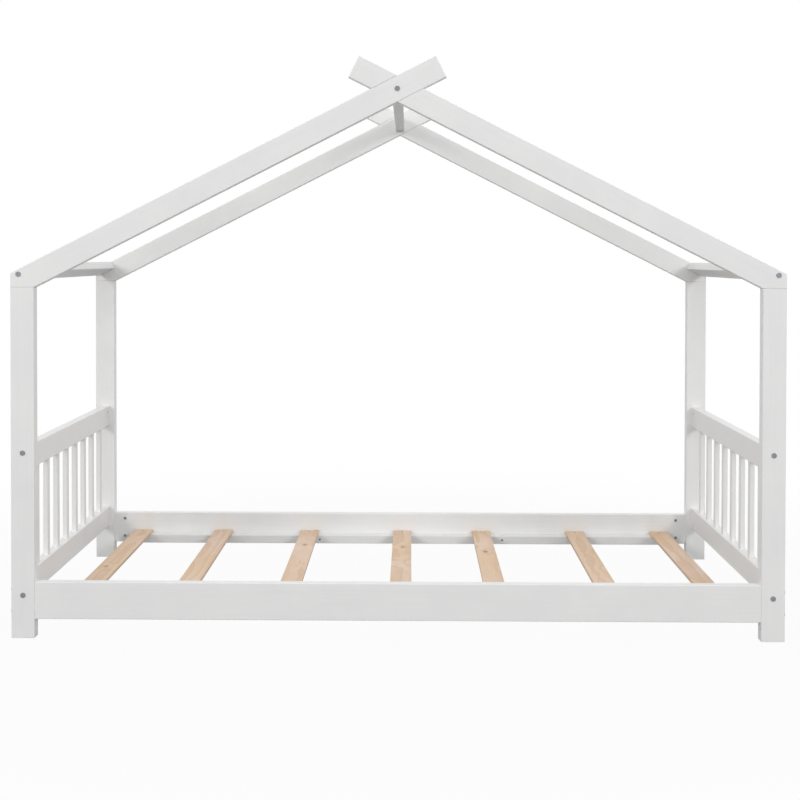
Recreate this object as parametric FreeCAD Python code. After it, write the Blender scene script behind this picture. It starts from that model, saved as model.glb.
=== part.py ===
import FreeCAD, Part
import math
import os

# House frame bed: a low bed for a child whose four corner posts carry a
# gabled roof outline of crossed rafters. It knocks down into boards that
# are held by bolts with barrel nuts, and by dowels.
# Millimetres. X is the length, Y the depth (front is -Y), Z is up.
# The origin is on the floor, in the middle of the four posts.

V = FreeCAD.Vector

# ---- overall sizes ---------------------------------------------------------
bed_length = 2034.0         # over the outer faces of the posts
bed_depth = 1066.0          # over the front and back faces of the posts
eave_height = 926.0         # square-cut top of each post
roof_pitch = 27.0           # degrees

# ---- posts and rafters -----------------------------------------------------
post_width = 62.0           # along the length of the bed
frame_thickness = 35.0      # posts and rafters, front to back
rafter_height = 62.0        # square to the slope
rafter_tip = 128.0          # from the crossing to the square-cut tip
lap_gap = 0.3               # play at the shoulders of the crossed lap joint

# ---- ridge and eave ties ---------------------------------------------------
ridge_width = 28.0
ridge_height = 42.0
tie_width = 54.0            # along the slope
tie_thickness = 25.0        # square to the slope
tie_setback = 4.0           # from the outer end of the rafters
tie_pin_offset = 14.0       # bolt and dowel each side of the tie's middle
ridge_pin_offset = 13.0     # dowel below the ridge bolt

# ---- side rails and slats --------------------------------------------------
side_rail_height = 98.0
side_rail_thickness = 28.0
side_rail_lift = 50.5       # floor to the underside of the rail
side_bolt_offset = 29.0     # the two bolts above and below the rail's middle
cleat_depth = 45.0
cleat_height = 26.0
cleat_lift = 5.5            # underside of the rail to the underside of the cleat
cleat_inset = 55.0          # end of the rail to the end of the cleat
slat_count = 7
slat_width = 60.0
slat_thickness = 10.0
slat_end_inset = 95.0       # end of the rail to the middle of the outer slats
slat_end_play = 2.0         # between a slat's end and the rail
slat_laid_off = (3.0, -15.0, -14.0, 9.0, -15.0, 9.0, 3.0)   # as laid by hand

# ---- end panels ------------------------------------------------------------
panel_top = 508.0           # floor to the top of the upper rail
panel_rail_height = 65.0
panel_rail_thickness = 28.0
panel_bolt_drop = 15.0      # panel bolt below the upper side rail bolt
panel_bolt_edge = 7.5       # panel bolt to the underside of the lower rail
panel_dowel_rise = 37.0     # dowel above the bolt in the lower rail
panel_pin_offset = 14.0     # bolt and dowel each side of the upper rail's middle
spindle_count = 8
spindle_width = 25.0
spindle_thickness = 13.0
tenon_length = 12.0
tenon_gap = 0.25            # play round and above a spindle's end

# ---- fasteners -------------------------------------------------------------
bolt_diameter = 6.0
bolt_head_diameter = 14.0
bolt_head_height = 2.4
socket_across = 4.6         # hexagon socket, across its corners
socket_depth = 1.6
bolt_gap = 0.4              # play round a bolt in wood
nut_diameter = 10.0
nut_length = 20.0
nut_gap = 0.2               # play round a barrel nut
nut_inset = 33.0            # end of a board to the middle of its barrel nut
thread_gap = 0.15           # play of the bolt in its nut
bolt_run_out = 9.0          # bolt beyond the middle of its nut
dowel_diameter = 8.0
dowel_gap = 0.15
dowel_in_frame = 12.0       # depth of a beam's dowel in a post or rafter
dowel_in_beam = 20.0        # depth of the same dowel in the beam
post_dowel_diameter = 10.0
post_dowel_half = 24.0      # depth of an eave dowel in the post and in the rafter
post_dowel_spacing = 30.0
screw_diameter = 4.0
screw_head_diameter = 7.6
screw_head_height = 2.4
cleat_screw_length = 62.0
cleat_screw_shares = (-0.978, -0.294, 0.378, 0.978)         # of half the cleat's length
slat_screw_length = 24.0
screw_gap = 0.2
arris = 2.0                 # rounded long edges of the painted boards
small_arris = 1.2           # rounded long edges of the spindles and slats
end_arris = 0.7             # bevel round the sawn ends of the painted boards

# ---- places worked out from the sizes --------------------------------------
pitch = math.radians(roof_pitch)
slope_run = V(math.cos(pitch), 0, math.sin(pitch))      # up a left rafter
slope_out = V(-math.sin(pitch), 0, math.cos(pitch))     # square to it, upwards
half_length = bed_length / 2
half_depth = bed_depth / 2
inner_x = half_length - post_width
inner_y = half_depth - frame_thickness
post_x = half_length - post_width / 2
rafter_rise = rafter_height / math.cos(pitch)
crossing_low = eave_height + inner_x * math.tan(pitch)
crossing_z = crossing_low + rafter_rise / 2
rail_inner_y = half_depth - side_rail_thickness
rail_y = half_depth - side_rail_thickness / 2
side_rail_mid = side_rail_lift + side_rail_height / 2
side_bolt_z = (side_rail_mid - side_bolt_offset, side_rail_mid + side_bolt_offset)
cleat_bottom = side_rail_lift + cleat_lift
cleat_top = cleat_bottom + cleat_height
slat_top = cleat_top + slat_thickness
lower_bolt_z = side_bolt_z[1] - panel_bolt_drop
lower_rail_bottom = lower_bolt_z - panel_bolt_edge
lower_rail_top = lower_rail_bottom + panel_rail_height
upper_rail_bottom = panel_top - panel_rail_height
upper_bolt_z = panel_top - panel_rail_height / 2 + panel_pin_offset
bolt_hole = bolt_diameter / 2 + bolt_gap
left_right = (("left", -1), ("right", 1))
front_back = (("front", -1), ("back", 1))

os.makedirs("parts", exist_ok=True)


def save(name, solids):
    """Writes one node: a single solid, or a group of separate ones."""
    shape = solids[0] if len(solids) == 1 else Part.makeCompound(solids)
    shape.exportStep("parts/" + name + ".step")


def rod(start, direction, radius, length):
    return Part.makeCylinder(radius, length, start, direction)


def round_edges(solid, along, radius):
    """Rounds the straight edges that run along one direction."""
    edges = []
    for edge in solid.Edges:
        run = edge.Vertexes[-1].Point - edge.Vertexes[0].Point
        if run.Length > 0 and abs(run.normalize().dot(along)) > 0.999:
            edges.append(edge)
    return solid.makeFillet(radius, edges)


def board(low, high, along, radius):
    """A planed board between two corners, its long edges rounded."""
    size = high - low
    box = Part.makeBox(size.x, size.y, size.z, low)
    return round_edges(box, along, radius)


def ease_ends(solid, along):
    """Bevels the edges round a board's two sawn ends."""
    edges = []
    for face in solid.Faces:
        if abs(face.normalAt(0, 0).dot(along)) > 0.999:
            edges.extend(face.Edges)
    return solid.makeChamfer(end_arris, edges)


def mirrored_x(solid):
    return solid.mirror(V(0, 0, 0), V(1, 0, 0))


def on_side(solid, side):
    """The left-hand solid itself, or its mirror image on the right."""
    return solid if side < 0 else mirrored_x(solid)


def bolt(seat, direction, length):
    """A flat-headed bolt. The seat is the middle of its head's underside."""
    head = Part.makeCylinder(bolt_head_diameter / 2, bolt_head_height, V(0, 0, -bolt_head_height))
    rim = [edge for edge in head.Edges if edge.Curve.TypeId == "Part::GeomCircle"
           and edge.CenterOfMass.z < -bolt_head_height / 2]
    head = head.makeFillet(bolt_head_height / 3, rim)
    shank = Part.makeCylinder(bolt_diameter / 2, length)
    corners = []
    for k in range(7):
        turn = math.radians(60 * k)
        corners.append(V(socket_across / 2 * math.cos(turn), socket_across / 2 * math.sin(turn),
                         -bolt_head_height))
    socket = Part.Face(Part.makePolygon(corners)).extrude(V(0, 0, socket_depth))
    body = head.fuse(shank).cut(socket).removeSplitter()
    body.Placement = FreeCAD.Placement(seat, FreeCAD.Rotation(V(0, 0, 1), direction))
    return body.Solids[0]


def barrel_nut(middle, nut_axis, bolt_axis):
    """A cross dowel: a short steel rod with a hole across it for the bolt."""
    start = middle - nut_axis * (nut_length / 2)
    body = rod(start, nut_axis, nut_diameter / 2, nut_length)
    thread = rod(middle - bolt_axis * nut_diameter, bolt_axis,
                 bolt_diameter / 2 + thread_gap, nut_diameter * 2)
    return body.cut(thread).Solids[0]


def nut_bore(middle, nut_axis, open_depth):
    """The bore for a barrel nut, open on the side that nut_axis points to."""
    start = middle - nut_axis * (nut_length / 2)
    return rod(start, nut_axis, nut_diameter / 2 + nut_gap, nut_length / 2 + open_depth)


def dowel(start, direction, diameter, length):
    pin = rod(start, direction, diameter / 2, length)
    ends = [edge for edge in pin.Edges if edge.Curve.TypeId == "Part::GeomCircle"]
    return pin.makeChamfer(diameter / 10, ends)


def dowel_bore(start, direction, diameter, length):
    return rod(start - direction * dowel_gap, direction, diameter / 2 + dowel_gap,
               length + 2 * dowel_gap)


def screw(head_top, direction, length):
    """A countersunk wood screw. The point is a short cone."""
    head = Part.makeCone(screw_head_diameter / 2, screw_diameter / 2, screw_head_height)
    shank = Part.makeCylinder(screw_diameter / 2, length - 2 * screw_diameter)
    tip = Part.makeCone(screw_diameter / 2, screw_diameter / 10, 2 * screw_diameter,
                        V(0, 0, length - 2 * screw_diameter))
    body = head.fuse([shank, tip]).removeSplitter()
    body.Placement = FreeCAD.Placement(head_top, FreeCAD.Rotation(V(0, 0, 1), direction))
    return body.Solids[0]


def screw_bore(head_top, direction, length):
    """The screw's hole with its countersink, open at the head's face."""
    sink = Part.makeCone(screw_head_diameter / 2 + screw_gap, screw_diameter / 2 + screw_gap,
                         screw_head_height)
    hole = Part.makeCylinder(screw_diameter / 2 + screw_gap, length + screw_gap)
    body = sink.fuse(hole)
    body.Placement = FreeCAD.Placement(head_top, FreeCAD.Rotation(V(0, 0, 1), direction))
    return body


# ---- fixings of the left end, collected while the boards are made ------------
fixings = {}


def add_fixing(name, solid):
    """Keeps a left-hand fixing and its mirror image for the right."""
    fixings.setdefault(name, []).extend([solid, mirrored_x(solid)])


# ---- end panels: rails between the posts, with spindles between the rails ----
panel_low_x = -post_x - panel_rail_thickness / 2
panel_high_x = -post_x + panel_rail_thickness / 2
panel_cuts = {"post_front": [], "post_back": [], "lower": [], "upper": []}
lower_dowel_z = lower_bolt_z + panel_dowel_rise
upper_dowel_z = upper_bolt_z - 2 * panel_pin_offset
panel_rows = (("lower", lower_bolt_z, lower_dowel_z), ("upper", upper_bolt_z, upper_dowel_z))
for end, facing in front_back:
    inward = V(0, -facing, 0)
    face_y = facing * half_depth
    joint_y = facing * inner_y
    for row, bolt_z, dowel_z in panel_rows:
        seat = V(-post_x, face_y, bolt_z)
        nut_middle = V(-post_x, joint_y - facing * nut_inset, bolt_z)
        reach = frame_thickness + nut_inset + bolt_run_out
        add_fixing("panel_bolts", bolt(seat, inward, reach))
        add_fixing("panel_barrel_nuts", barrel_nut(nut_middle, V(1, 0, 0), inward))
        hole = rod(seat, inward, bolt_hole, reach + bolt_gap)
        pin_start = V(-post_x, joint_y + facing * dowel_in_frame, dowel_z)
        pin_length = dowel_in_frame + dowel_in_beam
        add_fixing("panel_dowels", dowel(pin_start, inward, dowel_diameter, pin_length))
        pin_hole = dowel_bore(pin_start, inward, dowel_diameter, pin_length)
        panel_cuts["post_" + end].extend([hole, pin_hole])
        panel_cuts[row].extend([hole, pin_hole, nut_bore(nut_middle, V(1, 0, 0), panel_rail_thickness)])

spindle_pitch = (2 * inner_y - spindle_count * spindle_width) / (spindle_count + 1) + spindle_width
spindle_places = []
for k in range(spindle_count):
    spindle_places.append((k - (spindle_count - 1) / 2) * spindle_pitch)

mortises = []
for y in spindle_places:
    low = V(-post_x - spindle_thickness / 2, y - spindle_width / 2, lower_rail_top - tenon_length)
    high = V(-post_x + spindle_thickness / 2, y + spindle_width / 2, upper_rail_bottom + tenon_length)
    spindle = board(low, high, V(0, 0, 1), small_arris)
    number = str(len(mortises) + 1)
    for name, side in left_right:
        save(name + "_spindle_" + number, [on_side(spindle, side)])
    play = V(tenon_gap, tenon_gap, 0)
    size = high - low + play * 2
    mortises.append(Part.makeBox(size.x, size.y, size.z + tenon_gap, low - play))

for row, low_z, high_z in (("lower", lower_rail_bottom, lower_rail_top),
                           ("upper", upper_rail_bottom, panel_top)):
    rail = board(V(panel_low_x, -inner_y, low_z), V(panel_high_x, inner_y, high_z), V(0, 1, 0), arris)
    rail = ease_ends(rail, V(0, 1, 0))
    rail = rail.cut(panel_cuts[row] + mortises)
    for name, side in left_right:
        save(name + "_panel_" + row + "_rail", [on_side(rail.Solids[0], side)])

# ---- side rails, butted between the posts and bolted through them -----------
side_rails = {}
post_side_cuts = {}
for end, facing in front_back:
    low = V(-inner_x, min(facing * half_depth, facing * rail_inner_y), side_rail_lift)
    high = V(inner_x, max(facing * half_depth, facing * rail_inner_y), side_rail_lift + side_rail_height)
    rail = ease_ends(board(low, high, V(1, 0, 0), arris), V(1, 0, 0))
    post_side_cuts[end] = []
    for bolt_z in side_bolt_z:
        seat = V(-half_length, facing * rail_y, bolt_z)
        nut_middle = V(-inner_x + nut_inset, facing * rail_y, bolt_z)
        reach = post_width + nut_inset + bolt_run_out
        inward = V(0, -facing, 0)
        add_fixing("side_rail_bolts", bolt(seat, V(1, 0, 0), reach))
        add_fixing("side_rail_barrel_nuts", barrel_nut(nut_middle, inward, V(1, 0, 0)))
        hole = rod(seat, V(1, 0, 0), bolt_hole, reach + bolt_gap)
        bore = nut_bore(nut_middle, inward, side_rail_thickness)
        post_side_cuts[end].append(hole)
        rail = rail.cut([hole, bore, mirrored_x(hole), mirrored_x(bore)])
    side_rails[end] = rail

# ---- slats across two cleats -----------------------------------------------
slat_reach = inner_x - slat_end_inset
slat_places = []
for k in range(slat_count):
    even = (2 * k / (slat_count - 1) - 1) * slat_reach
    slat_places.append(even + slat_laid_off[k % len(slat_laid_off)])

slat_end_y = rail_inner_y - slat_end_play
slat_screw_y = rail_inner_y - cleat_depth / 2
cleat_cuts = {"front": [], "back": []}
slat_screws = []
for k in range(slat_count):
    x = slat_places[k]
    slat = board(V(x - slat_width / 2, -slat_end_y, cleat_top),
                 V(x + slat_width / 2, slat_end_y, slat_top), V(0, 1, 0), small_arris)
    for end, facing in front_back:
        head_top = V(x, facing * slat_screw_y, slat_top)
        slat_screws.append(screw(head_top, V(0, 0, -1), slat_screw_length))
        bore = screw_bore(head_top, V(0, 0, -1), slat_screw_length)
        cleat_cuts[end].append(bore)
        slat = slat.cut(bore)
    save("slat_" + str(k + 1), [slat.Solids[0]])
save("slat_screws", slat_screws)

cleat_screws = []
cleat_half = inner_x - cleat_inset
cleat_mid_z = cleat_bottom + cleat_height / 2
for end, facing in front_back:
    near_y = facing * (rail_inner_y - cleat_depth)
    far_y = facing * rail_inner_y
    cleat = board(V(-cleat_half, min(near_y, far_y), cleat_bottom),
                  V(cleat_half, max(near_y, far_y), cleat_top), V(1, 0, 0), small_arris)
    for share in cleat_screw_shares:
        head_top = V(share * cleat_half, near_y, cleat_mid_z)
        cleat_screws.append(screw(head_top, V(0, facing, 0), cleat_screw_length))
        cleat_cuts[end].append(screw_bore(head_top, V(0, facing, 0), cleat_screw_length))
    save(end + "_cleat", [cleat.cut(cleat_cuts[end]).Solids[0]])
    rail = side_rails[end].cut(cleat_cuts[end])
    save(end + "_side_rail", [rail.Solids[0]])
save("cleat_screws", cleat_screws)

# ---- eave ties and ridge: beams from the front gable to the back one --------
crossing = V(0, 0, crossing_z)
rafter_top_end = V(-half_length, 0, crossing_z + rafter_rise / 2 - half_length * math.tan(pitch))
tie_outer = rafter_top_end + slope_run * (tie_setback / math.cos(pitch))
tie_middle = tie_outer + slope_run * (tie_width / 2) - slope_out * (tie_thickness / 2)
tie_bolt = tie_middle - slope_run * tie_pin_offset
tie_dowel = tie_middle + slope_run * tie_pin_offset

corners = []
for run, out in ((-1, -1), (1, -1), (1, 1), (-1, 1), (-1, -1)):
    corner = tie_middle + slope_run * (run * tie_width / 2) + slope_out * (out * tie_thickness / 2)
    corners.append(corner - V(0, inner_y, 0))
tie = Part.Face(Part.makePolygon(corners)).extrude(V(0, 2 * inner_y, 0))
tie = ease_ends(round_edges(tie, V(0, 1, 0), arris), V(0, 1, 0))
ridge = board(V(-ridge_width / 2, -inner_y, crossing_z - ridge_height / 2),
              V(ridge_width / 2, inner_y, crossing_z + ridge_height / 2), V(0, 1, 0), arris)
ridge = ease_ends(ridge, V(0, 1, 0))

rafter_cuts = {"front": [], "back": []}
apex_cuts = {"front": [], "back": []}
ridge_fixings = {"ridge_bolts": [], "ridge_barrel_nuts": [], "ridge_dowels": []}
for end, facing in front_back:
    inward = V(0, -facing, 0)
    reach = frame_thickness + nut_inset + bolt_run_out
    pin_length = dowel_in_frame + dowel_in_beam
    to_face = V(0, facing * half_depth, 0)
    to_joint = V(0, facing * inner_y, 0)
    to_nut = V(0, facing * (inner_y - nut_inset), 0)
    to_pin = V(0, facing * (inner_y + dowel_in_frame), 0)

    add_fixing("tie_bolts", bolt(tie_bolt + to_face, inward, reach))
    add_fixing("tie_barrel_nuts", barrel_nut(tie_bolt + to_nut, slope_out, inward))
    add_fixing("tie_dowels", dowel(tie_dowel + to_pin, inward, dowel_diameter, pin_length))
    hole = rod(tie_bolt + to_face, inward, bolt_hole, reach + bolt_gap)
    pin_hole = dowel_bore(tie_dowel + to_pin, inward, dowel_diameter, pin_length)
    rafter_cuts[end].extend([hole, pin_hole])
    tie = tie.cut([hole, pin_hole, nut_bore(tie_bolt + to_nut, slope_out * -1, tie_thickness)])

    below = V(0, 0, -ridge_pin_offset)
    seat = crossing + to_face
    ridge_fixings["ridge_bolts"].append(bolt(seat, inward, reach))
    ridge_fixings["ridge_barrel_nuts"].append(barrel_nut(crossing + to_nut, V(1, 0, 0), inward))
    ridge_fixings["ridge_dowels"].append(dowel(crossing + to_pin + below, inward, dowel_diameter,
                                               pin_length))
    hole = rod(seat, inward, bolt_hole, reach + bolt_gap)
    pin_hole = dowel_bore(crossing + to_pin + below, inward, dowel_diameter, pin_length)
    apex_cuts[end].extend([hole, pin_hole])
    ridge = ridge.cut([hole, pin_hole, nut_bore(crossing + to_nut, V(1, 0, 0), ridge_width)])

for name, side in left_right:
    save(name + "_eave_tie", [on_side(tie.Solids[0], side)])
save("ridge_beam", [ridge.Solids[0]])
for name in ridge_fixings:
    save(name, ridge_fixings[name])

# ---- rafters: cut level on the posts, half lapped where they cross ----------
tip_low = crossing + slope_run * rafter_tip - slope_out * (rafter_height / 2)
tip_high = crossing + slope_run * rafter_tip + slope_out * (rafter_height / 2)
outline = [V(-half_length, 0, eave_height), V(-inner_x, 0, eave_height), tip_low, tip_high,
           rafter_top_end, V(-half_length, 0, eave_height)]


def lap_cut(run, out, low_y, high_y):
    """The space of the crossing rafter, in one half of the thickness."""
    reach = rafter_height / math.sin(2 * pitch)
    width = rafter_height / 2 + lap_gap
    points = []
    for a, b in ((-1, -1), (1, -1), (1, 1), (-1, 1), (-1, -1)):
        points.append(crossing + run * (a * reach) + out * (b * width) + V(0, low_y, 0))
    return Part.Face(Part.makePolygon(points)).extrude(V(0, high_y - low_y, 0))


other_run = V(slope_run.x, 0, -slope_run.z)
other_out = V(-slope_out.x, 0, slope_out.z)
post_dowel_holes = {"front": [], "back": []}
for end, facing in front_back:
    low_y = min(facing * half_depth, facing * inner_y)
    middle_y = low_y + frame_thickness / 2
    for k in (-1, 1):
        start = V(-post_x + k * post_dowel_spacing / 2, middle_y, eave_height - post_dowel_half)
        add_fixing("post_dowels", dowel(start, V(0, 0, 1), post_dowel_diameter, 2 * post_dowel_half))
        post_dowel_holes[end].append(dowel_bore(start, V(0, 0, 1), post_dowel_diameter,
                                                2 * post_dowel_half))
    placed = [point + V(0, low_y, 0) for point in outline]
    rafter = Part.Face(Part.makePolygon(placed)).extrude(V(0, frame_thickness, 0))
    face_edges = [edge for edge in rafter.Edges if abs(edge.tangentAt(0).y) < 0.001]
    rafter = rafter.makeFillet(arris, face_edges)
    rafter = rafter.cut(rafter_cuts[end] + post_dowel_holes[end])
    front_lap = lap_cut(other_run, other_out, middle_y, low_y + frame_thickness)
    left = rafter.cut([front_lap] + apex_cuts[end])
    save(end + "_left_rafter", [left.Solids[0]])
    back_lap = lap_cut(slope_run, slope_out, low_y, middle_y)
    right = mirrored_x(rafter).cut([back_lap] + apex_cuts[end])
    save(end + "_right_rafter", [right.Solids[0]])

# ---- posts -------------------------------------------------------------------
for end, facing in front_back:
    low_y = min(facing * half_depth, facing * inner_y)
    post = board(V(-half_length, low_y, 0), V(-inner_x, low_y + frame_thickness, eave_height),
                 V(0, 0, 1), arris)
    post = ease_ends(post, V(0, 0, 1))
    post = post.cut(panel_cuts["post_" + end] + post_side_cuts[end] + post_dowel_holes[end])
    for name, side in left_right:
        save(end + "_" + name + "_post", [on_side(post.Solids[0], side)])

for name in fixings:
    save(name, fixings[name])
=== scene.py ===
import math
import bpy
from mathutils import Matrix, Vector


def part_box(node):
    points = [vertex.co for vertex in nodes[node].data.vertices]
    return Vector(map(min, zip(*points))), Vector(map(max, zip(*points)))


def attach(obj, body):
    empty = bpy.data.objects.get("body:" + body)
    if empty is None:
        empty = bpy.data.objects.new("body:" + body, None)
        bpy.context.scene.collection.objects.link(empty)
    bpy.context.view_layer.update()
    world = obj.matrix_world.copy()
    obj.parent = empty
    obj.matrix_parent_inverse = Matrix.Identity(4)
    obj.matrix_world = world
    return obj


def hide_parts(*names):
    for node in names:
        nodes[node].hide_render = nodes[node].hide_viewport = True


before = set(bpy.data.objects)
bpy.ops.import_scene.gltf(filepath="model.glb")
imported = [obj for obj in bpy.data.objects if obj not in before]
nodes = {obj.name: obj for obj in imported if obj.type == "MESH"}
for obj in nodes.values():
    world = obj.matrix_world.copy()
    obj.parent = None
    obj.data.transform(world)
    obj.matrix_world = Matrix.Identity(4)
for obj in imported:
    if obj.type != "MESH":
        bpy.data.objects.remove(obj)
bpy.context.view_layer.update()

# ---- corner posts ------------------------------------------------------------
# Four posts of planed pine, 62 by 35 mm, sprayed with two coats of satin white
# lacquer. The long edges are eased by 2 mm, and the grain just shows in relief.


def linear(hexcode):
    """An sRGB hex colour as the linear values that a shader takes."""
    parts = [int(hexcode[k:k + 2], 16) / 255 for k in (1, 3, 5)]
    return [c / 12.92 if c <= 0.04045 else ((c + 0.055) / 1.055) ** 2.4 for c in parts] + [1.0]


def add(tree, kind, inputs=(), **settings):
    """Adds one node with its settings, and fills or links its inputs."""
    node = tree.nodes.new(kind)
    for name, value in settings.items():
        setattr(node, name, value)
    for socket, value in dict(inputs).items():
        if isinstance(value, bpy.types.NodeSocket):
            tree.links.new(value, node.inputs[socket])
        else:
            node.inputs[socket].default_value = value
    return node


def new_finish(name):
    """A new material, with its tree and the shader in it."""
    finish = bpy.data.materials.new(name)
    finish.use_nodes = True
    return finish, finish.node_tree, finish.node_tree.nodes["Principled BSDF"]


def lacquered_pine(name, grain_turn):
    """Satin white lacquer on planed pine. grain_turn turns X to the grain's direction."""
    finish, tree, shader = new_finish(name)
    place = add(tree, "ShaderNodeTexCoord").outputs["Object"]
    # Growth rings some 3 mm apart, drawn out to 180 mm along the board.
    along = add(tree, "ShaderNodeMapping", {"Vector": place, "Rotation": grain_turn,
                                            "Scale": (0.18, 0.003, 0.003)}, vector_type="TEXTURE")
    rings = add(tree, "ShaderNodeTexNoise", {"Vector": along.outputs[0], "Scale": 1.0, "Detail": 3.0,
                                             "Roughness": 0.6})
    # Slow changes in the thickness of the coat, a hand's breadth across.
    coat = add(tree, "ShaderNodeTexNoise", {"Vector": place, "Scale": 9.0, "Detail": 2.0})
    tone = add(tree, "ShaderNodeMix", {"Factor": coat.outputs["Fac"], 6: linear("#E5E5E5"),
                                       7: linear("#EEEEED")}, data_type="RGBA")
    streak = add(tree, "ShaderNodeMapRange", {"Value": rings.outputs["Fac"], "From Min": 0.3,
                                              "From Max": 0.7, "To Min": 0.0, "To Max": 0.16})
    colour = add(tree, "ShaderNodeMix", {"Factor": streak.outputs[0], 6: tone.outputs[2],
                                         7: linear("#D6D6D6")}, data_type="RGBA")
    sheen = add(tree, "ShaderNodeMapRange", {"Value": coat.outputs["Fac"], "To Min": 0.36, "To Max": 0.5})
    relief = add(tree, "ShaderNodeBump", {"Height": rings.outputs["Fac"], "Strength": 0.25,
                                          "Distance": 0.0002})
    tree.links.new(colour.outputs[2], shader.inputs["Base Color"])
    tree.links.new(sheen.outputs[0], shader.inputs["Roughness"])
    tree.links.new(relief.outputs[0], shader.inputs["Normal"])
    shader.inputs["IOR"].default_value = 1.5
    return finish


def finish_nodes(names, finish):
    """Gives a finish to CAD nodes, in every material slot that they have."""
    for name in names:
        materials = nodes[name].data.materials
        if len(materials) == 0:
            materials.append(finish)
        for k in range(len(materials)):
            materials[k] = finish


lacquer_upright = lacquered_pine("satin_white_lacquer_on_upright_pine", (0, math.radians(-90), 0))
finish_nodes([end + side + "_post" for end in ("front_", "back_") for side in ("left", "right")],
             lacquer_upright)

# ---- rafters -----------------------------------------------------------------
# Two rafters in each gable rise at 27 degrees, cross in a half lap and run past
# it to square-sawn tips. Same lacquered pine, with the grain along the slope.
slope = math.radians(27)
for side, turn in (("left", -slope), ("right", slope)):
    lacquer_sloping = lacquered_pine("satin_white_lacquer_on_" + side + "_rafter_pine", (0, turn, 0))
    finish_nodes([end + side + "_rafter" for end in ("front_", "back_")], lacquer_sloping)

# ---- ridge beam and eave ties --------------------------------------------------
# Three beams join the front gable to the back one: the ridge on edge under the
# crossing, and an eave tie laid in the slope at each side.
lacquer_across = lacquered_pine("satin_white_lacquer_on_crosswise_pine", (0, 0, math.radians(90)))
finish_nodes(["ridge_beam", "left_eave_tie", "right_eave_tie"], lacquer_across)

# ---- side rails and cleats -----------------------------------------------------
# Two rails of 98 by 28 mm butt against the posts. A cleat is screwed along the
# inner face of each, low down, for the slats to lie on.
lacquer_lengthwise = lacquered_pine("satin_white_lacquer_on_lengthwise_pine", (0, 0, 0))
finish_nodes(["front_side_rail", "back_side_rail", "front_cleat", "back_cleat"], lacquer_lengthwise)

# ---- end panel rails -------------------------------------------------------------
# An upper and a lower rail between the posts at each end, mortised for the
# spindles and lacquered with them.
finish_nodes([side + "_panel_" + row + "_rail" for side in ("left", "right")
              for row in ("upper", "lower")], lacquer_across)

# ---- spindles ----------------------------------------------------------------
# Eight flat spindles of 25 by 13 mm stand in each end panel, tenoned 12 mm into
# both rails. Their long edges are eased by 1.2 mm.


def tree_inputs(name, sizes):
    """A new Geometry Nodes tree with a geometry input and named sizes."""
    tree = bpy.data.node_groups.new(name, "GeometryNodeTree")
    tree.interface.new_socket("Geometry", in_out="INPUT", socket_type="NodeSocketGeometry")
    for size in sizes:
        tree.interface.new_socket(size, in_out="INPUT", socket_type="NodeSocketFloat")
    tree.interface.new_socket("Finish", in_out="INPUT", socket_type="NodeSocketMaterial")
    tree.interface.new_socket("Geometry", in_out="OUTPUT", socket_type="NodeSocketGeometry")
    return tree, add(tree, "NodeGroupInput").outputs


def eased_board(tree, given, axis):
    """A board with eased long edges, centred on the origin, its length along an axis."""
    section = add(tree, "GeometryNodeCurvePrimitiveQuadrilateral",
                  {"Width": given["Width"], "Height": given["Thickness"]})
    eased = add(tree, "GeometryNodeFilletCurve", {"Curve": section.outputs[0], "Radius": given["Arris"],
                                                  "Count": 3}, mode="POLY")
    ends = []
    for share in (-0.5, 0.5):
        reach = add(tree, "ShaderNodeMath", {0: given["Length"], 1: share}, operation="MULTIPLY")
        ends.append(add(tree, "ShaderNodeCombineXYZ", {axis: reach.outputs[0]}).outputs[0])
    line = add(tree, "GeometryNodeCurvePrimitiveLine", {"Start": ends[0], "End": ends[1]})
    return add(tree, "GeometryNodeCurveToMesh", {"Curve": line.outputs[0], "Profile Curve": eased.outputs[0],
                                                 "Fill Caps": True}).outputs[0]


def close_tree(tree, given, placed):
    """Ends a tree: instances made real, and the finish set."""
    real = add(tree, "GeometryNodeRealizeInstances", {0: placed})
    dressed = add(tree, "GeometryNodeSetMaterial", {"Geometry": real.outputs[0], "Material": given["Finish"]})
    add(tree, "NodeGroupOutput", {0: dressed.outputs[0]})


def grown(name, tree, places, sizes, directions=()):
    """Runs a tree on a set of points, and keeps what it makes as a plain mesh."""
    points = bpy.data.meshes.new(name + "_points")
    points.from_pydata(places, [], [])
    for attribute, vectors in dict(directions).items():
        kept = points.attributes.new(attribute, "FLOAT_VECTOR", "POINT")
        for k, vector in enumerate(vectors):
            kept.data[k].vector = vector
    maker = bpy.data.objects.new(name + "_maker", points)
    bpy.context.scene.collection.objects.link(maker)
    rows = maker.modifiers.new("rows", "NODES")
    rows.node_group = tree
    for socket in tree.interface.items_tree:
        if socket.in_out == "INPUT" and socket.name in sizes:
            rows[socket.identifier] = sizes[socket.name]
    depsgraph = bpy.context.evaluated_depsgraph_get()
    mesh = bpy.data.meshes.new_from_object(maker.evaluated_get(depsgraph), depsgraph=depsgraph,
                                           preserve_all_data_layers=True)
    bpy.data.objects.remove(maker)
    mesh.shade_smooth()
    mesh.set_sharp_from_angle(angle=math.radians(35))
    piece = bpy.data.objects.new(name, mesh)
    bpy.context.scene.collection.objects.link(piece)
    return piece


spindle_tree, given = tree_inputs("spindles", ("Length", "Width", "Thickness", "Arris"))
spindle = eased_board(spindle_tree, given, "Z")
placed = add(spindle_tree, "GeometryNodeInstanceOnPoints", {"Points": given["Geometry"],
                                                            "Instance": spindle})
close_tree(spindle_tree, given, placed.outputs[0])

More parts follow.
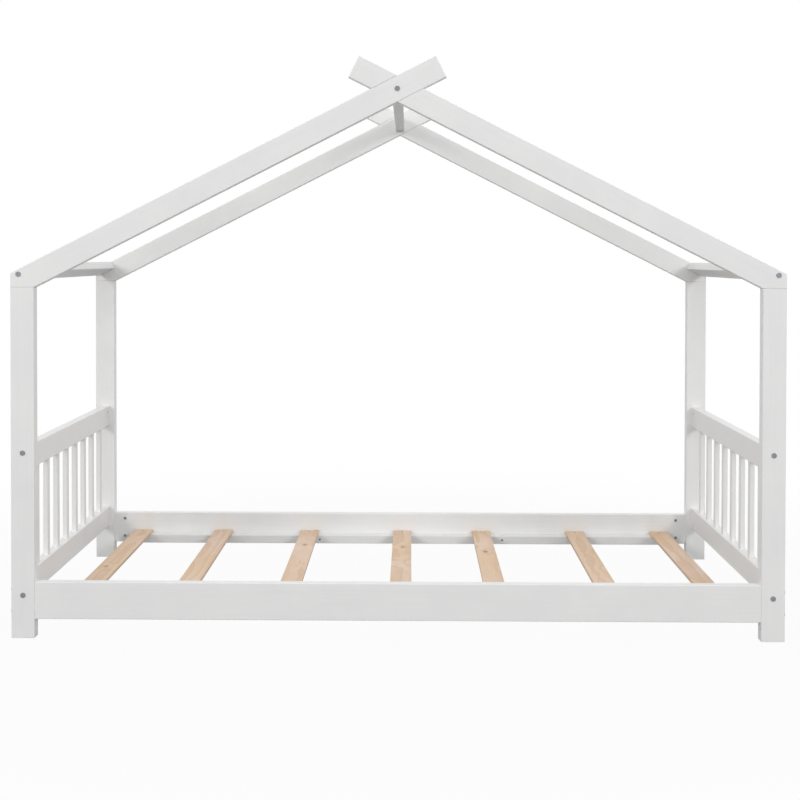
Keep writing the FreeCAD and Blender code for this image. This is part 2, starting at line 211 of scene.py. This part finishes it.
spindle_names = [side + "_spindle_" + str(k) for side in ("left", "right") for k in range(1, 9)]
spindle_places = []
for name in spindle_names:
    low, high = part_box(name)
    spindle_places.append((low + high) / 2)
spindles = grown("spindles", spindle_tree, spindle_places,
                 {"Length": high.z - low.z, "Width": high.x - low.x, "Thickness": high.y - low.y,
                  "Arris": 0.0012, "Finish": lacquer_upright})
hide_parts(*spindle_names)
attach(spindles, "root")

# ---- slats -------------------------------------------------------------------
# Seven slats of planed pine, 60 by 10 mm, left bare. They are cut from the side
# of the log, so the rings show as long streaks and arches round a few knots.
bare_pine, tree, shader = new_finish("bare_planed_pine")
# Each slat carries its place in the log, so that no two have the same figure.
log = add(tree, "ShaderNodeAttribute", attribute_name="log_place").outputs["Vector"]
# Slow bends of the rings, half a metre long and 50 mm wide.
bend_map = add(tree, "ShaderNodeMapping", {"Vector": log, "Scale": (0.05, 0.5, 0.05)},
               vector_type="TEXTURE")
bend = add(tree, "ShaderNodeTexNoise", {"Vector": bend_map.outputs[0], "Scale": 1.0, "Detail": 2.0})
bent = add(tree, "ShaderNodeVectorMath", {0: bend.outputs["Color"], 1: (0.016, 0.0, 0.016)},
           operation="MULTIPLY")
bent_log = add(tree, "ShaderNodeVectorMath", {0: log, 1: bent.outputs[0]}, operation="ADD")
# Knots: dark ovals, 7 mm wide and 16 mm long where cut through the middle, that fade
# out at three times that size.
knot_map = add(tree, "ShaderNodeMapping", {"Vector": log, "Scale": (0.07, 0.16, 0.2)},
               vector_type="TEXTURE")
knots = add(tree, "ShaderNodeTexVoronoi", {"Vector": knot_map.outputs[0], "Scale": 1.0})
knot = add(tree, "ShaderNodeMapRange", {"Value": knots.outputs["Distance"], "From Min": 0.05,
                                        "From Max": 0.15, "To Min": 0.8, "To Max": 0.0})
near_knot = add(tree, "ShaderNodeMapRange", {"Value": knots.outputs["Distance"], "From Min": 0.05,
                                             "From Max": 0.5, "To Min": 0.008, "To Max": 0.0},
                interpolation_type="SMOOTHSTEP")
pushed = add(tree, "ShaderNodeVectorMath", {0: bent_log.outputs[0], 1: near_knot.outputs[0]},
             operation="ADD")
# Rings 12 mm apart, which is wide for pine, about a heart 30 to 90 mm under the slat.
rings = add(tree, "ShaderNodeTexWave", {"Vector": pushed.outputs[0], "Scale": 26.0, "Distortion": 0.8,
                                        "Detail": 2.0, "Detail Scale": 0.6}, wave_type="RINGS",
            rings_direction="Y", wave_profile="SAW")
# Fine fibres, 1.2 mm across and 60 mm long.
fibre_map = add(tree, "ShaderNodeMapping", {"Vector": log, "Scale": (0.0012, 0.06, 0.0012)},
                vector_type="TEXTURE")
fibres = add(tree, "ShaderNodeTexNoise", {"Vector": fibre_map.outputs[0], "Scale": 1.0, "Detail": 4.0,
                                          "Roughness": 0.65})
# Heartwood and sapwood run into each other over some 40 cm, from tan to a pinkish cream.
blush = add(tree, "ShaderNodeTexNoise", {"Vector": log, "Scale": 2.4, "Detail": 1.0})
blushed = add(tree, "ShaderNodeMapRange", {"Value": blush.outputs["Fac"], "From Min": 0.4,
                                           "From Max": 0.6})
ground = add(tree, "ShaderNodeMix", {"Factor": blushed.outputs[0], 6: linear("#E4C9AC"),
                                     7: linear("#E9D3C6")}, data_type="RGBA")
blotch = add(tree, "ShaderNodeTexNoise", {"Vector": log, "Scale": 9.0, "Detail": 2.0})
pale = add(tree, "ShaderNodeMix", {"Factor": blotch.outputs["Fac"], 6: ground.outputs[2],
                                   7: linear("#DCC1A3")}, data_type="RGBA")
late = add(tree, "ShaderNodeMapRange", {"Value": rings.outputs["Fac"], "From Min": 0.35, "From Max": 1.0,
                                        "To Min": 0.0, "To Max": 0.34})
ringed = add(tree, "ShaderNodeMix", {"Factor": late.outputs[0], 6: pale.outputs[2],
                                     7: linear("#C29B77")}, data_type="RGBA")
fibre = add(tree, "ShaderNodeMapRange", {"Value": fibres.outputs["Fac"], "From Min": 0.42,
                                         "From Max": 0.72, "To Min": 0.0, "To Max": 0.28})
fibred = add(tree, "ShaderNodeMix", {"Factor": fibre.outputs[0], 6: ringed.outputs[2],
                                     7: linear("#B79375")}, data_type="RGBA")
knotted = add(tree, "ShaderNodeMix", {"Factor": knot.outputs[0], 6: fibred.outputs[2],
                                      7: linear("#9C7251")}, data_type="RGBA")
relief = add(tree, "ShaderNodeBump", {"Height": fibres.outputs["Fac"], "Strength": 0.3,
                                      "Distance": 0.0003})
tree.links.new(knotted.outputs[2], shader.inputs["Base Color"])
tree.links.new(relief.outputs[0], shader.inputs["Normal"])
shader.inputs["Roughness"].default_value = 0.68
shader.inputs["IOR"].default_value = 1.45

slat_tree, given = tree_inputs("slats", ("Length", "Width", "Thickness", "Arris", "Screw to middle",
                                         "Hole", "Countersink", "Sink depth"))
slat = eased_board(slat_tree, given, "Y")
# Longer than a slat is thick, so that the holes go right through.
drill_length = 0.04
hole = add(slat_tree, "GeometryNodeMeshCylinder", {"Vertices": 20, "Radius": given["Hole"],
                                                   "Depth": drill_length})
sink = add(slat_tree, "GeometryNodeMeshCone", {"Vertices": 20, "Radius Bottom": given["Hole"],
                                               "Radius Top": given["Countersink"],
                                               "Depth": given["Sink depth"]})
# The exact solver leaves the drilled mesh closed, here and in the fasteners.
drilled = add(slat_tree, "GeometryNodeMeshBoolean", {"Mesh 1": slat}, operation="DIFFERENCE",
              solver="EXACT")
slat_top = add(slat_tree, "ShaderNodeMath", {0: given["Thickness"], 1: 0.5}, operation="MULTIPLY")
sink_z = add(slat_tree, "ShaderNodeMath", {0: slat_top.outputs[0], 1: given["Sink depth"]},
             operation="SUBTRACT")
for sign in (-1, 1):
    screw_y = add(slat_tree, "ShaderNodeMath", {0: given["Screw to middle"], 1: sign}, operation="MULTIPLY")
    through = add(slat_tree, "ShaderNodeCombineXYZ", {"Y": screw_y.outputs[0]})
    sunk = add(slat_tree, "ShaderNodeCombineXYZ", {"Y": screw_y.outputs[0], "Z": sink_z.outputs[0]})
    for cutter, spot in ((hole, through), (sink, sunk)):
        cut = add(slat_tree, "GeometryNodeTransform", {"Geometry": cutter.outputs[0],
                                                       "Translation": spot.outputs[0]})
        slat_tree.links.new(cut.outputs[0], drilled.inputs["Mesh 2"])
placed = add(slat_tree, "GeometryNodeInstanceOnPoints", {"Points": given["Geometry"],
                                                         "Instance": drilled.outputs[0]})
shift = add(slat_tree, "FunctionNodeRandomValue", {0: (-0.02, -3.0, 0.03), 1: (0.02, 3.0, 0.09),
                                                   "Seed": 5}, data_type="FLOAT_VECTOR")
shifted = add(slat_tree, "GeometryNodeStoreNamedAttribute", {"Geometry": placed.outputs[0],
                                                             "Name": "log_shift",
                                                             "Value": shift.outputs[0]},
              data_type="FLOAT_VECTOR", domain="INSTANCE")
position = add(slat_tree, "GeometryNodeInputPosition").outputs[0]
middles = add(slat_tree, "GeometryNodeStoreNamedAttribute", {"Geometry": shifted.outputs[0],
                                                             "Name": "slat_middle", "Value": position},
              data_type="FLOAT_VECTOR", domain="INSTANCE")
laid = add(slat_tree, "GeometryNodeRealizeInstances", {0: middles.outputs[0]})
moved = add(slat_tree, "GeometryNodeInputNamedAttribute", {"Name": "log_shift"},
            data_type="FLOAT_VECTOR")
middle = add(slat_tree, "GeometryNodeInputNamedAttribute", {"Name": "slat_middle"},
             data_type="FLOAT_VECTOR")
own = add(slat_tree, "ShaderNodeVectorMath", {0: position, 1: middle.outputs[0]}, operation="SUBTRACT")
in_log = add(slat_tree, "ShaderNodeVectorMath", {0: own.outputs[0], 1: moved.outputs[0]}, operation="ADD")
logged = add(slat_tree, "GeometryNodeStoreNamedAttribute", {"Geometry": laid.outputs[0],
                                                            "Name": "log_place",
                                                            "Value": in_log.outputs[0]},
             data_type="FLOAT_VECTOR", domain="POINT")
close_tree(slat_tree, given, logged.outputs[0])

slat_names = ["slat_" + str(k) for k in range(1, 8)]
slat_places = []
for name in slat_names:
    low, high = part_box(name)
    slat_places.append((low + high) / 2)
# From the middle of a slat to each of its two screws.
screw_reach = 0.4825
slats = grown("slats", slat_tree, slat_places,
              {"Length": high.y - low.y, "Width": high.x - low.x, "Thickness": high.z - low.z,
               "Arris": 0.0012, "Screw to middle": screw_reach, "Hole": 0.0022, "Countersink": 0.004,
               "Sink depth": 0.0024, "Finish": bare_pine})
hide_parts(*slat_names)
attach(slats, "root")

# ---- dowels ------------------------------------------------------------------
# Beech pins, 8 and 10 mm thick, glued beside the bolts and between each post and
# its rafter. They are hidden once the bed is up.
beech, tree, shader = new_finish("beech_dowel_rod")
place = add(tree, "ShaderNodeTexCoord").outputs["Object"]
# Beech has short dark flecks, about 1 mm across.
flecks = add(tree, "ShaderNodeTexNoise", {"Vector": place, "Scale": 900.0, "Detail": 2.0})
fleck = add(tree, "ShaderNodeMapRange", {"Value": flecks.outputs["Fac"], "From Min": 0.5, "From Max": 0.7})
colour = add(tree, "ShaderNodeMix", {"Factor": fleck.outputs[0], 6: linear("#D9B68C"),
                                     7: linear("#B58A5E")}, data_type="RGBA")
tree.links.new(colour.outputs[2], shader.inputs["Base Color"])
shader.inputs["Roughness"].default_value = 0.6
finish_nodes(["panel_dowels", "tie_dowels", "ridge_dowels", "post_dowels"], beech)

# ---- bolts -------------------------------------------------------------------
# M6 bolts with flat 14 mm heads and hexagon sockets, of steel with a dull grey
# zinc plate. Two hold each rail and panel end, one each beam end of the roof.


def aimed(tree):
    """The turn that brings a fastener's Z onto the aim stored with its place."""
    aim = add(tree, "GeometryNodeInputNamedAttribute", {"Name": "aim"}, data_type="FLOAT_VECTOR")
    return add(tree, "FunctionNodeAlignRotationToVector", {"Vector": aim.outputs[0]}, axis="Z").outputs[0]


zinc, tree, shader = new_finish("dull_zinc_plated_steel")
place = add(tree, "ShaderNodeTexCoord").outputs["Object"]
# The plate is crystalline and mottled, with spots about 1.5 mm across.
mottle = add(tree, "ShaderNodeTexNoise", {"Vector": place, "Scale": 650.0, "Detail": 3.0})
colour = add(tree, "ShaderNodeMix", {"Factor": mottle.outputs["Fac"], 6: linear("#7C7E82"),
                                     7: linear("#94969A")}, data_type="RGBA")
dull = add(tree, "ShaderNodeMapRange", {"Value": mottle.outputs["Fac"], "To Min": 0.3, "To Max": 0.5})
tree.links.new(colour.outputs[2], shader.inputs["Base Color"])
tree.links.new(dull.outputs[0], shader.inputs["Roughness"])
shader.inputs["Metallic"].default_value = 1.0

bolt_tree, given = tree_inputs("bolts", ("Head radius", "Head height", "Shank radius", "Shank length",
                                         "Socket radius", "Socket depth"))
rim_height = add(bolt_tree, "ShaderNodeMath", {0: given["Head height"], 1: 0.5},
                 operation="MULTIPLY").outputs[0]
rim_radius = add(bolt_tree, "ShaderNodeMath", {0: given["Head radius"], 1: rim_height},
                 operation="SUBTRACT").outputs[0]
disc = add(bolt_tree, "GeometryNodeMeshCone", {"Vertices": 40, "Radius Top": given["Head radius"],
                                               "Radius Bottom": given["Head radius"], "Depth": rim_height})
rim = add(bolt_tree, "GeometryNodeMeshCone", {"Vertices": 40, "Radius Top": rim_radius,
                                              "Radius Bottom": given["Head radius"], "Depth": rim_height})
rim_at = add(bolt_tree, "ShaderNodeCombineXYZ", {"Z": rim_height})
rim_up = add(bolt_tree, "GeometryNodeTransform", {"Geometry": rim.outputs[0],
                                                  "Translation": rim_at.outputs[0]})
shank = add(bolt_tree, "GeometryNodeMeshCone", {"Vertices": 24, "Radius Top": given["Shank radius"],
                                                "Radius Bottom": given["Shank radius"],
                                                "Depth": given["Shank length"]})
shank_z = add(bolt_tree, "ShaderNodeMath", {0: given["Shank length"], 1: -1.0}, operation="MULTIPLY")
shank_at = add(bolt_tree, "ShaderNodeCombineXYZ", {"Z": shank_z.outputs[0]})
shank_down = add(bolt_tree, "GeometryNodeTransform", {"Geometry": shank.outputs[0],
                                                      "Translation": shank_at.outputs[0]})
body = add(bolt_tree, "GeometryNodeMeshBoolean", operation="UNION", solver="EXACT")
for part in (disc, rim_up, shank_down):
    bolt_tree.links.new(part.outputs[0], body.inputs["Mesh 2"])
socket = add(bolt_tree, "GeometryNodeMeshCone", {"Vertices": 6, "Radius Top": given["Socket radius"],
                                                 "Radius Bottom": given["Socket radius"],
                                                 "Depth": given["Head height"]})
socket_z = add(bolt_tree, "ShaderNodeMath", {0: given["Head height"], 1: given["Socket depth"]},
               operation="SUBTRACT")
socket_at = add(bolt_tree, "ShaderNodeCombineXYZ", {"Z": socket_z.outputs[0]})
socket_up = add(bolt_tree, "GeometryNodeTransform", {"Geometry": socket.outputs[0],
                                                     "Translation": socket_at.outputs[0]})
bolt = add(bolt_tree, "GeometryNodeMeshBoolean", {"Mesh 1": body.outputs[0],
                                                  "Mesh 2": socket_up.outputs[0]},
           operation="DIFFERENCE", solver="EXACT")
placed = add(bolt_tree, "GeometryNodeInstanceOnPoints", {"Points": given["Geometry"],
                                                         "Instance": bolt.outputs[0],
                                                         "Rotation": aimed(bolt_tree)})
close_tree(bolt_tree, given, placed.outputs[0])

# Middles of the posts, their faces at the ends of the bed, and those at its front and back.
post_x, end_face_x, gable_face_y = 0.986, 1.017, 0.533
# Middles of the side rails and the ridge. The tie bolts sit 14 mm down the slope from the
# ties' middles, and each panel end and rail end has a low and a high bolt.
rail_y, tie_x, tie_z, ridge_z = 0.519, 0.99571, 0.96083, 1.44739
panel_bolt_zs, rail_bolt_zs = (0.1135, 0.4895), (0.0705, 0.1285)
short_shank, long_shank = 0.077, 0.104
bolt_rows = {
    "panel_bolts": ([(x, y, z) for x in (-post_x, post_x) for y in (-gable_face_y, gable_face_y)
                     for z in panel_bolt_zs], short_shank),
    "side_rail_bolts": ([(x, y, z) for x in (-end_face_x, end_face_x) for y in (-rail_y, rail_y)
                         for z in rail_bolt_zs], long_shank),
    "tie_bolts": ([(x, y, tie_z) for x in (-tie_x, tie_x) for y in (-gable_face_y, gable_face_y)],
                  short_shank),
    "ridge_bolts": ([(0.0, y, ridge_z) for y in (-gable_face_y, gable_face_y)], short_shank),
}
for name, (seats, length) in bolt_rows.items():
    if name == "side_rail_bolts":
        aims = [(math.copysign(1, x), 0, 0) for x, y, z in seats]
    else:
        aims = [(0, math.copysign(1, y), 0) for x, y, z in seats]
    bolts = grown("hex_" + name, bolt_tree, seats,
                  {"Head radius": 0.007, "Head height": 0.0024, "Shank radius": 0.003,
                   "Shank length": length, "Socket radius": 0.0023, "Socket depth": 0.0016,
                   "Finish": zinc}, {"aim": aims})
    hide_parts(name)
    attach(bolts, "root")

# ---- barrel nuts ---------------------------------------------------------------
# Steel cross dowels, 10 mm thick and 20 mm long, tapped across for the bolt and
# slotted at the end that shows, to turn them in line. Same dull zinc.
nut_tree, given = tree_inputs("barrel_nuts", ("Radius", "Length", "Thread radius", "Slot"))
rod = add(nut_tree, "GeometryNodeMeshCylinder", {"Vertices": 32, "Radius": given["Radius"],
                                                 "Depth": given["Length"]})
# Both cutters run right across the nut. The slot's is half above the end, and cuts 1.5 mm deep.
cutter_length, slot_cutter_height = 0.03, 0.003
tapped = add(nut_tree, "GeometryNodeMeshCylinder", {"Vertices": 20, "Radius": given["Thread radius"],
                                                    "Depth": cutter_length})
tapped_flat = add(nut_tree, "GeometryNodeTransform", {"Geometry": tapped.outputs[0],
                                                      "Rotation": (math.radians(90), 0, 0)})
slot_size = add(nut_tree, "ShaderNodeCombineXYZ", {"X": given["Slot"], "Y": cutter_length,
                                                   "Z": slot_cutter_height})
slot = add(nut_tree, "GeometryNodeMeshCube", {"Size": slot_size.outputs[0]})
slot_z = add(nut_tree, "ShaderNodeMath", {0: given["Length"], 1: 0.5}, operation="MULTIPLY")
slot_at = add(nut_tree, "ShaderNodeCombineXYZ", {"Z": slot_z.outputs[0]})
slot_up = add(nut_tree, "GeometryNodeTransform", {"Geometry": slot.outputs[0],
                                                  "Translation": slot_at.outputs[0]})
nut = add(nut_tree, "GeometryNodeMeshBoolean", {"Mesh 1": rod.outputs[0]}, operation="DIFFERENCE",
          solver="EXACT")
for cutter in (tapped_flat, slot_up):
    nut_tree.links.new(cutter.outputs[0], nut.inputs["Mesh 2"])
bolt_way = add(nut_tree, "GeometryNodeInputNamedAttribute", {"Name": "bolt_way"},
               data_type="FLOAT_VECTOR")
turned = add(nut_tree, "FunctionNodeAlignRotationToVector", {"Rotation": aimed(nut_tree),
                                                             "Vector": bolt_way.outputs[0]},
             axis="Y", pivot_axis="Z")
placed = add(nut_tree, "GeometryNodeInstanceOnPoints", {"Points": given["Geometry"],
                                                        "Instance": nut.outputs[0],
                                                        "Rotation": turned.outputs[0]})
close_tree(nut_tree, given, placed.outputs[0])

# Where the nuts sit, inside the ends of the side rails and of what runs across.
nut_x, nut_y = 0.922, 0.465
# Each nut has its middle, the way that its slotted end faces, and the way to its bolt's head.
nut_rows = {
    "panel_barrel_nuts": [((x, y, z), (-x, 0, 0), (0, y, 0)) for x in (-post_x, post_x)
                          for y in (-nut_y, nut_y) for z in panel_bolt_zs],
    "side_rail_barrel_nuts": [((x, y, z), (0, -y, 0), (x, 0, 0)) for x in (-nut_x, nut_x)
                              for y in (-rail_y, rail_y) for z in rail_bolt_zs],
    "tie_barrel_nuts": [((x, y, tie_z), (-math.copysign(math.sin(slope), x), 0, -math.cos(slope)),
                         (0, y, 0)) for x in (-tie_x, tie_x) for y in (-nut_y, nut_y)],
    "ridge_barrel_nuts": [((0, y, ridge_z), (1, 0, 0), (0, y, 0)) for y in (-nut_y, nut_y)],
}
for name, rows in nut_rows.items():
    nuts = grown("slotted_" + name, nut_tree, [row[0] for row in rows],
                 {"Radius": 0.005, "Length": 0.02, "Thread radius": 0.00315, "Slot": 0.0014,
                  "Finish": zinc}, {"aim": [row[1] for row in rows], "bolt_way": [row[2] for row in rows]})
    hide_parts(name)
    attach(nuts, "root")

# ---- screws --------------------------------------------------------------------
# Countersunk steel wood screws with a cross recess, 4 mm thick. Short ones hold
# the slats to the cleats, and long ones the cleats to the side rails.
screw_tree, given = tree_inputs("screws", ("Head radius", "Head height", "Shank radius", "Length", "Point",
                                           "Recess"))


def turned_length(radius_top, radius_bottom, depth, top):
    """A length of the screw, from the depth of its top down."""
    cone = add(screw_tree, "GeometryNodeMeshCone", {"Vertices": 24, "Radius Top": radius_top,
                                                    "Radius Bottom": radius_bottom, "Depth": depth})
    bottom = add(screw_tree, "ShaderNodeMath", {0: top, 1: depth}, operation="SUBTRACT")
    at = add(screw_tree, "ShaderNodeCombineXYZ", {"Z": bottom.outputs[0]})
    return add(screw_tree, "GeometryNodeTransform", {"Geometry": cone.outputs[0],
                                                     "Translation": at.outputs[0]}).outputs[0]


head_end = add(screw_tree, "ShaderNodeMath", {0: 0.0, 1: given["Head height"]}, operation="SUBTRACT")
shank_length = add(screw_tree, "ShaderNodeMath", {0: given["Length"], 1: given["Point"]},
                   operation="SUBTRACT")
shank_only = add(screw_tree, "ShaderNodeMath", {0: shank_length.outputs[0], 1: given["Head height"]},
                 operation="SUBTRACT")
point_top = add(screw_tree, "ShaderNodeMath", {0: shank_length.outputs[0], 1: -1.0}, operation="MULTIPLY")
tip_radius = 0.0002
screw_body = add(screw_tree, "GeometryNodeMeshBoolean", operation="UNION", solver="EXACT")
for length in (
        turned_length(given["Head radius"], given["Shank radius"], given["Head height"], 0.0),
        turned_length(given["Shank radius"], given["Shank radius"], shank_only.outputs[0],
                      head_end.outputs[0]),
        turned_length(given["Shank radius"], tip_radius, given["Point"], point_top.outputs[0])):
    screw_tree.links.new(length, screw_body.inputs["Mesh 2"])
recessed = add(screw_tree, "GeometryNodeMeshBoolean", {"Mesh 1": screw_body.outputs[0]},
               operation="DIFFERENCE", solver="EXACT")
# The cross is cut 1.3 mm deep by two bars, which are half above the head.
bar_width, bar_height = 0.001, 0.0026
for axis, across in (("X", "Y"), ("Y", "X")):
    size = add(screw_tree, "ShaderNodeCombineXYZ", {axis: given["Recess"], across: bar_width,
                                                    "Z": bar_height})
    bar = add(screw_tree, "GeometryNodeMeshCube", {"Size": size.outputs[0]})
    screw_tree.links.new(bar.outputs[0], recessed.inputs["Mesh 2"])
placed = add(screw_tree, "GeometryNodeInstanceOnPoints", {"Points": given["Geometry"],
                                                          "Instance": recessed.outputs[0],
                                                          "Rotation": aimed(screw_tree)})
close_tree(screw_tree, given, placed.outputs[0])

slats_top, slat_screw_length = 0.092, 0.024
# The cleats' inner faces, the height of their middles, and four screws along each.
cleat_face, cleat_middle_z, cleat_screw_length = 0.46, 0.069, 0.062
cleat_screw_xs = (-0.8802, -0.2646, 0.3402, 0.8802)
screw_rows = {
    "slat_screws": ([(place.x, y, slats_top) for place in slat_places
                     for y in (-screw_reach, screw_reach)], slat_screw_length),
    "cleat_screws": ([(x, y, cleat_middle_z) for x in cleat_screw_xs for y in (-cleat_face, cleat_face)],
                     cleat_screw_length),
}
for name, (seats, length) in screw_rows.items():
    aims = [(0, 0, 1) if name == "slat_screws" else (0, -y, 0) for x, y, z in seats]
    screws = grown("cross_" + name, screw_tree, seats,
                   {"Head radius": 0.0038, "Head height": 0.0024, "Shank radius": 0.002,
                    "Length": length, "Point": 0.008, "Recess": 0.0042, "Finish": zinc}, {"aim": aims})
    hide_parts(name)
    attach(screws, "root")

# ---- floor, light and camera ---------------------------------------------------
# A grey studio floor and a surround that are both seen as white, two soft boxes at
# the front, one overhead and one behind. The camera stands a metre above the floor.


def seen_share(tree):
    """1 for rays that see a thing, directly or in gloss or glass, and 0 for those that gather light."""
    path = add(tree, "ShaderNodeLightPath")
    share = path.outputs["Is Camera Ray"]
    for ray in ("Is Glossy Ray", "Is Transmission Ray"):
        share = add(tree, "ShaderNodeMath", {0: share, 1: path.outputs[ray]}, operation="MAXIMUM").outputs[0]
    return share


floor_finish, tree, shader = new_finish("pale_studio_floor")
shader.inputs["Base Color"].default_value = linear("#868686")
shader.inputs["Roughness"].default_value = 0.9
place = add(tree, "ShaderNodeTexCoord").outputs["Object"]
far = add(tree, "ShaderNodeVectorMath", {0: place}, operation="LENGTH")
# Plain white from 3 m out, and 96 % white within 1 m, where a trace of the bed's shadow shows.
whiter = add(tree, "ShaderNodeMapRange", {"Value": far.outputs["Value"], "From Min": 1.0, "From Max": 3.0,
                                          "To Min": 0.96, "To Max": 1.0}, interpolation_type="SMOOTHSTEP")
share = add(tree, "ShaderNodeMath", {0: seen_share(tree), 1: whiter.outputs[0]}, operation="MULTIPLY")
white = add(tree, "ShaderNodeEmission", {"Color": (1, 1, 1, 1), "Strength": 1.0})
blend = add(tree, "ShaderNodeMixShader", {0: share.outputs[0], 1: shader.outputs[0], 2: white.outputs[0]})
tree.links.new(blend.outputs[0], tree.nodes["Material Output"].inputs["Surface"])

floor_mesh = bpy.data.meshes.new("studio_floor")
floor_reach = 20.0
corners = [(-floor_reach, -floor_reach, 0), (floor_reach, -floor_reach, 0),
           (floor_reach, floor_reach, 0), (-floor_reach, floor_reach, 0)]
floor_mesh.from_pydata(corners, [], [(0, 1, 2, 3)])
floor_mesh.materials.append(floor_finish)
floor = bpy.data.objects.new("studio_floor", floor_mesh)
bpy.context.scene.collection.objects.link(floor)

surround = bpy.data.worlds.new("white_surround")
bpy.context.scene.world = surround
surround.use_nodes = True
tree = surround.node_tree
# The surround lights the bed at 0.6, and is plain white where it is seen.
level = add(tree, "ShaderNodeMapRange", {"Value": seen_share(tree), "To Min": 0.6, "To Max": 1.0})
tree.nodes["Background"].inputs["Color"].default_value = (1, 1, 1, 1)
tree.links.new(level.outputs[0], tree.nodes["Background"].inputs["Strength"])

for name, stand, target, size, power in (
        ("left", (-5.8, -8.4, 4.2), (0, 0, 0.6), 2.4, 305.0),
        ("right", (5.8, -8.4, 4.2), (0, 0, 0.6), 2.4, 305.0),
        ("overhead", (0, -0.4, 4.2), (0, 0.5, 0.6), 1.4, 20.0),
        ("back", (0, 6.0, 2.4), (0, 0, 0.8), 3.0, 75.0)):
    light = bpy.data.lights.new("soft_box_" + name, "AREA")
    light.shape = "SQUARE"
    light.size = size
    light.energy = power
    box = bpy.data.objects.new("soft_box_" + name, light)
    bpy.context.scene.collection.objects.link(box)
    box.location = stand
    box.rotation_euler = (Vector(target) - box.location).to_track_quat("-Z", "Y").to_euler()
    # The box behind isn't mirrored, as it would turn the inner faces of the eave ties plain white.
    box.visible_glossy = name != "back"

# The camera's place, turn, focal length and shift are solved from the photographed view.
lens = bpy.data.cameras.new("camera")
lens.sensor_fit = "HORIZONTAL"
lens.sensor_width = 36.0
lens.lens = 64.84
lens.shift_x = 0.0144
lens.shift_y = -0.1455
camera = bpy.data.objects.new("camera", lens)
bpy.context.scene.collection.objects.link(camera)
yaw, pitch, roll = 0.0152, 0.0186, 0.0014
ahead = Vector((-math.sin(yaw) * math.cos(pitch), math.cos(yaw) * math.cos(pitch), -math.sin(pitch)))
level_right = Vector((math.cos(yaw), math.sin(yaw), 0))
level_up = level_right.cross(ahead)
to_right = math.cos(roll) * level_right + math.sin(roll) * level_up
to_top = -math.sin(roll) * level_right + math.cos(roll) * level_up
eye = (0.0349, -4.3042, 1.0078)
turned_camera = Matrix((to_right, to_top, -ahead)).transposed().to_4x4()
camera.matrix_world = Matrix.Translation(eye) @ turned_camera
bpy.context.scene.camera = camera
bpy.context.scene.view_settings.view_transform = "Standard"
